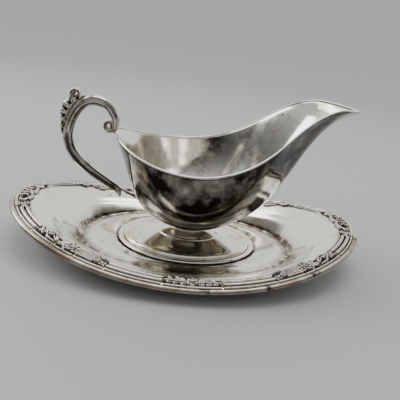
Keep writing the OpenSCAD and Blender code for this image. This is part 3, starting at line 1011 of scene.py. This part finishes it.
        def shape(u: np.ndarray, v: np.ndarray) -> np.ndarray:
            """Places grid points u and v on the border, raised by the map."""
            at = spot(u, v)
            angle = np.radians(middle + way * (u - 0.5) * span)
            place = self.plate.top(angle, relief.w[at])
            place[:, 2] += h[at]
            return place

        paints = {"hollow": lambda u, v: hollow[spot(u, v)]}
        return laid_sheet(name, shape, relief.columns, relief.rows, paints)

    def build(self, silver: bpy.types.Material) -> None:
        """Makes every casting of the border.

        Args:
            silver: the castings' finish.
        """
        for kind in Casting:
            stem, start, end = kind.value
            relief = self.drawn(kind)
            if kind is Casting.CARTOUCHE:
                spots = [("spout_end", 0.0, 1), ("handle_end", 180.0, 1)]
            elif kind is Casting.FLOWER_SPRAY:
                spots = [("front", 270.0, 1), ("back", 90.0, 1)]
            else:
                mid = (start + end) / 2
                spots = [("front_left", 180 + mid, 1), ("front_right", -mid, -1)]
                spots += [("back_left", 180 - mid, -1), ("back_right", mid, 1)]
            for tail, middle, way in spots:
                node = f"{stem}_{tail}"
                piece = self.lay_on(f"{node}_casting", relief, middle, end - start - self.seam, way)
                dress(piece, Body.UNDERPLATE, Slot.CAST, silver, instead_of=[node])


# ---------------------------------------------------------------- boat


@dataclass
class Pedestal:
    """The foot ring, the spreading foot and the collar under the bowl. Millimetres."""

    floor_z: float = 1.7
    foot: Point = (52.0, 37.5)
    ring_w: float = 4.4
    ring_h: float = 1.8
    waist: Point = (12.5, 10.5)
    waist_z: float = 15.0
    collar: Point = (16.5, 13.5)
    collar_z: float = 16.6
    collar_h: float = 4.2
    sheet: float = 1.0
    # The foot's outline: shares of the way in to the waist, and up to it
    outline: tuple = (
        (0.0, 0.0), (0.0, 0.08), (0.008, 0.15), (0.03, 0.215), (0.07, 0.265), (0.13, 0.305), (0.22, 0.345),
        (0.34, 0.385), (0.47, 0.425), (0.58, 0.465), (0.665, 0.505), (0.7, 0.53), (0.71, 0.56), (0.722, 0.59),
        (0.75, 0.61), (0.8, 0.64), (0.86, 0.69), (0.91, 0.755), (0.95, 0.83), (0.98, 0.91), (0.995, 1.0),
    )
    # Sections of the base ring and the collar: how far in from the outside, and share of the height
    ring_outline: tuple = (
        (0.9, 0), (0.25, 0.12), (0, 0.4), (0.12, 0.68), (0.6, 0.93), (1.5, 1), (2.6, 0.95),
        (3.5, 0.7), (4.0, 0.45), (4.4, 0.35), (4.4, 0.0), (0.9, 0),
    )
    collar_outline: tuple = (
        (3.4, 0), (2.9, 0.02), (1.2, 0.08), (0.35, 0.18), (0, 0.32), (0.35, 0.45), (1.1, 0.52),
        (1.6, 0.55), (1.6, 0.6), (1.2, 0.66), (0.9, 0.76), (1.3, 0.88), (1.6, 0.96), (1.7, 1),
    )

    def build(self, silver: bpy.types.Material, ring_silver: bpy.types.Material) -> None:
        """Makes the three pieces.

        Args:
            silver: the foot's finish.
            ring_silver: the finish of the ring and the collar.
        """
        (a, b), z, w, h = self.foot, self.floor_z, self.ring_w, self.ring_h
        ring = oval_stack("foot_base_ring", [(a - k, b - k, z + h * t) for k, t in self.ring_outline])
        dress(ring, Body.BOAT, Slot.FOOT, ring_silver, instead_of=["foot_ring"])
        a0, b0, (wa, wb) = a - w - 0.05, b - w - 0.05, self.waist
        rise = self.waist_z - z
        outside = [(a0 + (wa - a0) * p, b0 + (wb - b0) * p, z + rise * t) for p, t in self.outline]
        outside += [(wa + 0.4, wb + 0.4, self.collar_z - 0.5), (wa + 1.2, wb + 1.2, self.collar_z - 0.05)]
        s = self.sheet
        inside = [(x - s, y - s, max(z, t - s * 0.6)) for x, y, t in outside[-3::-1]]
        inside.insert(0, (wa - s, wb - s, self.collar_z - 0.05))
        foot = oval_stack("spreading_foot", outside + inside + outside[:1])
        dress(foot, Body.BOAT, Slot.FOOT, silver, instead_of=["foot"])
        (ca, cb), cz, ch = self.collar, self.collar_z, self.collar_h
        steps = [(ca, 0), *self.collar_outline, (ca, 1)]
        rings = [(max(ca - k, 0.01), max(cb - k, 0.01), cz + ch * t) for k, t in steps]
        cap = oval_stack("stepped_collar", rings)
        dress(cap, Body.BOAT, Slot.EDGE, ring_silver, instead_of=["collar"])


@dataclass
class Bowl:
    """The raised bowl with its long spout, and the wire round its rim. Millimetres."""

    spout_reach: float = 109.5
    back_reach: float = 59.4
    width: float = 107.0
    bottom_z: float = 20.85
    depth: float = 48.8
    spout_rise: float = 45.0
    back_rise: float = 10.8
    wall: float = 1.2
    wire_d: float = 1.4
    base: Point = (15.0, 12.0)
    spout_rim: tuple = (
        (1, 0, 0.952), (0.955, 0.15, 0.98), (0.87, 0.345, 1), (0.775, 0.47, 0.995), (0.66, 0.57, 0.9),
        (0.53, 0.69, 0.685), (0.41, 0.815, 0.43), (0.28, 0.927, 0.22), (0.14, 0.99, 0.08),
    )
    back_rim: tuple = (
        (0.02, 1, 0.03), (0.31, 0.92, 0), (0.57, 0.76, 0.17), (0.79, 0.535, 0.5), (0.94, 0.275, 0.88),
        (1, 0, 1),
    )
    spout_wall: tuple = (0.62, 0.5, 0.877)
    back_wall: tuple = (0.75, 0.7, 0.64)
    side_wall: tuple = (0.84, 0.95, 0.5)
    rim_line: np.ndarray = field(init=False)

    def __post_init__(self) -> None:
        """Draws the rim's curve."""
        low = self.bottom_z + self.depth
        side = self.width / 2
        half = [(self.spout_reach * x, side * y, low + self.spout_rise * z) for x, y, z in self.spout_rim]
        half += [(-self.back_reach * x, side * y, low + self.back_rise * z) for x, y, z in self.back_rim]
        half = np.array(half)
        other = half[-2:0:-1] * np.array([1, -1, 1])
        self.rim_line = closed_curve(np.vstack([half, other]), ROUND)

    @property
    def back(self) -> np.ndarray:
        """The rim's point at the handle."""
        return np.array([-self.back_reach, 0, self.bottom_z + self.depth + self.back_rise])

    def inset_rim(self, inward: float, drop: float) -> np.ndarray:
        """The rim's curve drawn in and lowered.

        Args:
            inward: how far in.
            drop: how far down.

        Returns:
            The new curve.
        """
        ring = self.rim_line
        step = np.roll(ring, -1, 0) - np.roll(ring, 1, 0)
        step[:, 2] = 0
        t = unit(step)
        into = np.column_stack([-t[:, 1], t[:, 0], np.zeros(len(t))])
        return ring + inward * into - np.array([0, 0, drop])

    def base_ring(self, a: float, b: float, z: float) -> np.ndarray:
        """The oval where the wall starts, each point facing its own point of the rim.

        Args:
            a: half length.
            b: half width.
            z: height.

        Returns:
            The oval's points.
        """
        mid = (self.spout_reach - self.back_reach) / 2
        half = (self.spout_reach + self.back_reach) / 2
        angle = np.arctan2(self.rim_line[:, 1] * half / (self.width / 2), self.rim_line[:, 0] - mid)
        return np.column_stack([a * np.cos(angle), b * np.sin(angle), np.full(len(angle), z)])

    def wall_ring(self, edge: np.ndarray, base: np.ndarray, u: float) -> np.ndarray:
        """One ring of the wall, u from 0 at the base to 1 at the rim.

        Args:
            edge: the rim's points.
            base: the base's points.
            u: how far up the wall.

        Returns:
            The ring's points.
        """
        x = self.rim_line[:, 0]
        f = np.where(x > 0, np.clip(x / self.spout_reach, 0, 1) ** 1.3, 0)[:, None]
        g = np.where(x < 0, np.clip(-x / self.back_reach, 0, 1) ** 2, 0)[:, None]
        spout, back, sides = (np.array(w) for w in (self.spout_wall, self.back_wall, self.side_wall))
        k = spout * f + back * g + sides * (1 - f - g)
        w = 1 - u
        out = 3 * w * w * u * k[:, 0] + 3 * w * u * u * k[:, 1] + u**3
        up = 3 * w * u * u * k[:, 2] + u**3
        return base + (edge - base) * np.column_stack([out, out, up])

    def build(
        self, silver: bpy.types.Material, inside_silver: bpy.types.Material, wire_silver: bpy.types.Material
    ) -> None:
        """Makes the bowl, its outside and inside each in its own finish, and the rim wire.

        Args:
            silver: finish of the outside.
            inside_silver: finish of the inside.
            wire_silver: finish of the rim wire.
        """
        r = self.wire_d / 2
        outer = self.inset_rim(r - self.wall / 2, self.wire_d * 0.8)
        inner = self.inset_rim(r + self.wall / 2, self.wire_d * 0.8)
        foot_out = self.base_ring(*self.base, self.bottom_z)
        foot_in = self.base_ring(self.base[0] - 0.7, self.base[1] - 0.7, self.bottom_z + self.wall)
        steps = np.linspace(0, 1, 61)
        rings = [foot_out * np.array([k, k, 1]) for k in (0, 0.5)]
        rings += [self.wall_ring(outer, foot_out, u) for u in steps]
        split = len(rings)
        rings += [self.wall_ring(inner, foot_in, u) for u in steps[::-1]]
        rings += [foot_in * np.array([k, k, 1]) for k in (0.75, 0.5, 0.25, 0)]
        stain_and_painted_light = []
        for ring in rings:
            x, y, z = ring.T
            # Darker towards the top, less so towards the spout.
            band = smooth_step((z - 33) / 22) * (1 - 0.55 * smooth_step((x - 35) / 45))
            # Painted highlight: one patch of the near side, y < 0, is left lighter.
            rubbed_and_painted_highlight = np.exp(-(((x - 30) / 26) ** 2) - ((z - 52) / 7) ** 2) * (y < 0)
            stain_and_painted_light.append(np.clip(0.25 + 0.85 * band - 0.75 * rubbed_and_painted_highlight, 0, 1))
        bowl = stacked_sheet("bowl_shell", rings, {"stain_and_painted_light": stain_and_painted_light})
        dress(bowl, Body.BOAT, Slot.BOWL, silver, inside_silver, instead_of=["bowl"])
        second_finish(bowl, (split - 0.5) / (len(rings) - 1))
        turns = np.linspace(0, 2 * math.pi, 17)
        rings = [self.inset_rim(r - r * math.cos(t), r - r * math.sin(t)) for t in turns]
        wire = stacked_sheet("bowl_rim_wire", rings)
        dress(wire, Body.BOAT, Slot.EDGE, wire_silver, instead_of=["rim_wire"])


def second_finish(obj: bpy.types.Object, share: float) -> None:
    """Gives the faces past a share of a sheet's v its second finish.

    Args:
        obj: the sheet.
        share: place along v, from 0 to 1, where the second finish starts.
    """
    mesh = obj.data
    uv = np.empty(len(mesh.loops) * 2)
    mesh.uv_layers[0].data.foreach_get("uv", uv)
    starts = np.empty(len(mesh.polygons), dtype=int)
    totals = np.empty(len(mesh.polygons), dtype=int)
    mesh.polygons.foreach_get("loop_start", starts)
    mesh.polygons.foreach_get("loop_total", totals)
    middle = np.add.reduceat(uv[1::2], starts) / totals
    mesh.polygons.foreach_set("material_index", (middle > share).astype(np.int32))


@dataclass
class Handle:
    """The scrolled bar, its leaf, its thumb curl and its bracket, all in the plane y = 0. Millimetres."""

    bowl: Bowl
    reach: float = 32.4
    foot_z: float = 30.0
    thick: float = 7.0
    wide: float = 7.2
    eye: Point = (-62.2, 82.6)
    volute: tuple = ((-60, 0.5), (0, 1.2), (90, 2.5), (180, 3.0), (270, 3.3), (340, 3.7))
    # Middle line past the volute: shares of the reach behind the rim, and of the height up to it
    grip: tuple = (
        (-0.06, 1.08), (-0.03, 1.13), (0.03, 1.22), (0.11, 1.29), (0.24, 1.335), (0.4, 1.35), (0.54, 1.33),
        (0.665, 1.275), (0.765, 1.195), (0.845, 1.095), (0.9, 0.99), (0.93, 0.88), (0.925, 0.775),
        (0.86, 0.655), (0.745, 0.55), (0.605, 0.465), (0.42, 0.37), (0.2, 0.28), (-0.02, 0.195),
        (-0.16, 0.12), (-0.205, 0.02),
    )
    # Thickness and width along the bar: place from 0 to 1, and share of the size at the grip
    thick_by_run: tuple = (
        (0, 0.4), (0.03, 0.38), (0.06, 0.42), (0.1, 0.48), (0.13, 0.58), (0.16, 0.78), (0.2, 0.88),
        (0.3, 0.98), (0.4, 0.95), (0.5, 0.94), (0.6, 0.98), (0.7, 1.0), (0.8, 0.92), (0.9, 0.8),
        (0.96, 0.66), (0.985, 0.45), (1, 0.1),
    )
    wide_by_run: tuple = (
        (0, 0.75), (0.12, 0.85), (0.2, 0.95), (0.3, 1), (0.8, 1), (0.9, 0.9), (0.97, 0.65), (1, 0.15),
    )
    # The two reeds over the shoulder, the hollow of the lower arm and the groove of the volute
    grooves: tuple = (
        (-0.5, 0.22, 0.13, 0.1, 0.56), (0.38, 0.18, 0.14, 0.06, 0.56),
        (0.05, 0.3, 0.42, 0.53, 0.97), (0.0, 0.25, 0.4, -1, 0.1),
    )
    # Where the bracket meets the bowl's back, and the upward direction along the wall there
    bracket_foot: Triple = (-38.4, 0, 31.4)
    bracket_up: Triple = (-0.56, 0, 0.83)
    curl_r: float = 3.7
    curl_eye: Point = (-84.8, 101.3)

    def place(self, points: Sequence[Point]) -> np.ndarray:
        """Turns shares of the handle's reach and height into places."""
        rim, rise = -self.bowl.back_reach, self.bowl.back[2] - self.foot_z
        return np.array([(rim - self.reach * x, 0.0, self.foot_z + rise * z) for x, z in points])

    def line(self) -> np.ndarray:
        """The bar's middle line: the volute's spiral, then the grip."""
        angle = np.linspace(self.volute[0][0], self.volute[-1][0], 19)
        r = np.interp(angle, *zip(*self.volute))
        x = self.eye[0] + r * np.cos(np.radians(angle))
        z = self.eye[1] + r * np.sin(np.radians(angle))
        return open_curve(np.vstack([np.column_stack([x, 0 * x, z]), self.place(self.grip[1:])]), 520)

    def build(self, silver: bpy.types.Material) -> None:
        """Makes the handle's four pieces.

        Args:
            silver: the finish of all four.
        """
        line = self.line()
        run = np.linspace(0, 1, len(line))
        thick = self.thick / 2 * np.interp(run, *zip(*self.thick_by_run))
        wide = self.wide / 2 * np.interp(run, *zip(*self.wide_by_run))
        bar = swept_bar("handle_bar", line, thick, wide, self.grooves)
        along = unit(np.gradient(line, axis=0))
        out = np.column_stack([along[:, 2], np.zeros(len(line)), -along[:, 0]])
        dress(bar, Body.BOAT, Slot.HANDLE, silver, instead_of=["handle"])
        ridge = self.leaf(line, thick, out, silver)
        self.curl(ridge, silver)
        self.bracket(line, thick, out, silver)

    def leaf(
        self, line: np.ndarray, thick: np.ndarray, out: np.ndarray, silver: bpy.types.Material
    ) -> np.ndarray:
        """Makes the acanthus leaf that clasps the shoulder, with serrated lobes and a creased middle.

        Args:
            line: the bar's middle line.
            thick: the bar's half thickness along it.
            out: the bar's outward direction along it.
            silver: the finish.

        Returns:
            The ridge of the leaf, from its upper end to its tail.
        """
        rows, facets, lobes = 130, 48, 7.0
        head, tail = (-77.0, 97.5), (-89.3, 72.0)
        first, last = [np.argmin(np.hypot(line[:, 0] - x, line[:, 2] - z)) for x, z in (head, tail)]
        spot = np.rint(np.linspace(first, last, rows)).astype(int)
        share = np.linspace(0, 1, rows)
        turn = np.arange(facets) * 2 * math.pi / facets
        lift = thick[spot] - 0.5
        high_by_share = (
            (0, 0.5), (0.12, 2.3), (0.25, 5.2), (0.36, 7), (0.5, 6), (0.65, 3.8), (0.8, 2.5),
            (0.93, 1.2), (1, 0.2),
        )
        half_by_share = (0, 0.9), (0.12, 2.6), (0.3, 3.5), (0.5, 3.9), (0.75, 3.5), (0.9, 2.4), (1, 0.6)
        high, half = (np.interp(share, *zip(*row)) for row in (high_by_share, half_by_share))
        c, q = np.cos(turn), np.sin(turn)
        flank = np.abs(q) * (c > -0.35)
        rings, hollow = [], []
        for k in range(rows):
            phase = share[k] * lobes
            lobe = abs(math.sin(math.pi * phase)) ** 0.6
            fold = np.cos(2 * math.pi * (phase - 0.55 * flank))
            crease = np.exp(-((q / 0.22) ** 2)) * (c > 0)
            pit = np.clip(-fold, 0, 1) * flank
            depth = 1 - 0.2 * crease - 0.24 * pit
            up = lift[k] + (high[k] + 0.5) * (0.5 + 0.5 * c) * depth
            over = half[k] * (0.72 + 0.28 * lobe) * q * (0.85 + 0.15 * c) * (1 - 0.16 * pit)
            rings.append(line[spot[k]] + out[spot[k]] * up[:, None] + np.array([0, 1, 0]) * over[:, None])
            hollow.append(np.clip(0.8 * crease + 1.5 * pit, 0, 1))
        leaf = stacked_sheet("acanthus_leaf_casting", rings, {"hollow": hollow})
        dress(leaf, Body.BOAT, Slot.HANDLE, silver, instead_of=["acanthus_leaf"])
        return np.array([ring[0] for ring in rings])

    def curl(self, ridge: np.ndarray, silver: bpy.types.Material) -> None:
        """Makes the little curled leaf end for the thumb, rolled over from the leaf's ridge.

        Args:
            ridge: the leaf's ridge.
            silver: the finish.
        """
        r = self.curl_r
        x, z = self.curl_eye
        root = ridge[np.argmin(np.hypot(ridge[:, 0] - x + 3.4, ridge[:, 2] - z + 4.2))]
        angle = np.linspace(205, -290, 22)
        reach = r * np.linspace(0.8, 0.16, 22)
        c, q = np.cos(np.radians(angle)), np.sin(np.radians(angle))
        spiral = np.column_stack([x + reach * c, 0 * reach, z + reach * q])
        line = open_curve(np.vstack([root + np.array([0.9, 0, -1.2]), spiral]), 220)
        run = np.linspace(0, 1, len(line))
        thick = r * np.interp(run, (0, 0.08, 0.2, 0.45, 0.8, 1), (0.9, 0.62, 0.36, 0.3, 0.2, 0.26))
        wide = r * np.interp(run, (0, 0.1, 0.25, 0.8, 1), (0.9, 0.75, 0.78, 0.66, 0.5))
        curl = swept_bar("thumb_curl_scroll", line, thick, wide, ((0.0, 0.25, 0.3, -1, 2),))
        dress(curl, Body.BOAT, Slot.HANDLE, silver, instead_of=["thumb_curl"])

    def bracket(
        self, line: np.ndarray, thick: np.ndarray, out: np.ndarray, silver: bpy.types.Material
    ) -> None:
        """Makes the bracket that spreads from the bar's lower end to the bowl's back.

        Args:
            line: the bar's middle line.
            thick: the bar's half thickness along it.
            out: the bar's outward direction along it.
            silver: the finish.
        """
        at = int(0.95 * len(line))
        start = line[at] - out[at] * (thick[at] - 0.6)
        wall, up = np.array(self.bracket_foot), np.array(self.bracket_up)
        way = unit(wall - start)
        turn = np.arange(40) * 2 * math.pi / 40
        rings = []
        for f in np.linspace(0, 1, 24):
            knop = 0.35 * math.exp(-(((f - 0.3) / 0.08) ** 2))
            h = 1.5 + 2.6 * f**3 + knop
            w = 1.7 + 0.5 * abs(f - 0.45) + knop
            mid = start + (wall - start) * f + way * 0.4 + np.array([0, 0, -0.5 * math.sin(math.pi * f)])
            flat = np.column_stack([0 * turn, w * np.sin(turn), 0 * turn])
            rings.append(mid + up * (h * np.cos(turn))[:, None] + flat)
        bracket = stacked_sheet("handle_foot_bracket", rings, {"hollow": [np.zeros(40)] * 24})
        dress(bracket, Body.BOAT, Slot.HANDLE, silver, instead_of=["handle_bracket"])


# ---------------------------------------------------------------- studio


@dataclass
class Studio:
    """Camera, floor and soft lights."""

    eye: Triple = (-0.02527, -0.26627, 0.14068)
    right: Triple = (0.9893, -0.0640, 0.1308)
    up: Triple = (-0.0973, 0.3778, 0.9208)
    back: Triple = (-0.1083, -0.9237, 0.3675)
    lens_mm: float = 34.92

    def camera(self) -> None:
        """Sets up the camera."""
        data = bpy.data.cameras.new("studio_camera")
        data.lens, data.sensor_width = self.lens_mm, 36.0
        data.clip_start, data.clip_end = 0.01, 60.0
        obj = bpy.data.objects.new("studio_camera", data)
        bpy.context.scene.collection.objects.link(obj)
        turn = Matrix((self.right, self.up, self.back)).transposed().to_4x4()
        turn.translation = self.eye
        obj.matrix_world = turn
        bpy.context.scene.camera = obj

    def floor(self) -> None:
        """Lays the pale floor."""
        deselect()
        bpy.ops.mesh.primitive_plane_add(size=16, location=(0, 0, 0))
        obj = bpy.context.object
        obj.name = obj.data.name = "studio_floor"
        made = bpy.data.materials.new("pale_matt_floor")
        made.use_nodes = True
        shader = made.node_tree.nodes["Principled BSDF"]
        shader.inputs["Base Color"].default_value = linear("#a3a2a1")
        shader.inputs["Roughness"].default_value = 0.6
        obj.data.materials.append(made)

    def light(
        self, name: str, place: Triple, aim: Triple, size: Point, power: float, tint: str = "#ffffff"
    ) -> None:
        """Hangs one soft light.

        Args:
            name: the light's name.
            place: where it hangs, in metres.
            aim: the point that it shines at.
            size: its two sides.
            power: its power in watts.
            tint: its colour.
        """
        data = bpy.data.lights.new(name, "AREA")
        data.shape, data.size, data.size_y = "RECTANGLE", size[0], size[1]
        data.energy = power
        data.color = linear(tint)[:3]
        obj = bpy.data.objects.new(name, data)
        bpy.context.scene.collection.objects.link(obj)
        way = Vector(aim) - Vector(place)
        obj.location = place
        obj.rotation_mode = "QUATERNION"
        obj.rotation_quaternion = way.to_track_quat("-Z", "Y")

    def surroundings(self) -> None:
        """Lights the scene from a room that is pale behind and above, and dark in front."""
        world = bpy.data.worlds.new("studio_room")
        bpy.context.scene.world = world
        world.use_nodes = True
        tree = world.node_tree
        tree.nodes.clear()
        where = add(tree, "ShaderNodeTexCoord").outputs["Generated"]
        split = add(tree, "ShaderNodeSeparateXYZ", Vector=where)
        walls = {"From Min": -0.25, "From Max": 0.35, "To Min": 0.02, "To Max": 1.5}
        behind = add(tree, "ShaderNodeMapRange", walls, Value=split.outputs["Y"])
        ceiling = {"From Min": 0.15, "From Max": 0.75, "To Min": 0.0, "To Max": 0.9}
        above = add(tree, "ShaderNodeMapRange", ceiling, Value=split.outputs["Z"])
        total = add(tree, "ShaderNodeMath", {"operation": "MAXIMUM"})
        tree.links.new(behind.outputs[0], total.inputs[0])
        tree.links.new(above.outputs[0], total.inputs[1])
        glow = add(tree, "ShaderNodeBackground", {"Color": linear("#f2f3f5")}, Strength=total.outputs[0])
        plain = add(tree, "ShaderNodeBackground", {"Color": linear("#b5b5b5"), "Strength": 1.0})
        seen = add(tree, "ShaderNodeLightPath").outputs["Is Camera Ray"]
        both = add(tree, "ShaderNodeMixShader", Fac=seen, i1=glow.outputs[0], i2=plain.outputs[0])
        add(tree, "ShaderNodeOutputWorld", Surface=both.outputs[0])

    def build(self) -> None:
        """Makes the studio."""
        self.camera()
        self.floor()
        self.light("overhead_softbox", (0.1, 0.25, 1.3), (0, 0, 0.05), (1.0, 0.7), 9.0)
        self.light("left_window", (-0.9, 0.2, 0.75), (0, 0, 0.05), (0.5, 0.7), 6.0, "#f4f8ff")
        self.surroundings()


def main() -> None:
    """Builds the object and the studio."""
    logging.basicConfig(level=logging.INFO, format="%(message)s")
    Studio().build()
    plate = Underplate()
    rubbed_and_painted_highlight, cast = RUBBED.build(), CAST.build()
    plate.build(TRAY.build(), EDGE.build())
    Border(plate).build(cast)
    Pedestal().build(FOOT.build(), rubbed_and_painted_highlight)
    bowl = Bowl()
    bowl.build(BOWL_OUTSIDE.build(), BOWL_INSIDE.build(), rubbed_and_painted_highlight)
    Handle(bowl).build(HANDLE.build())
    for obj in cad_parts.values():
        for slot in obj.material_slots:
            slot.material = cast


if __name__ == "__main__":
    main()
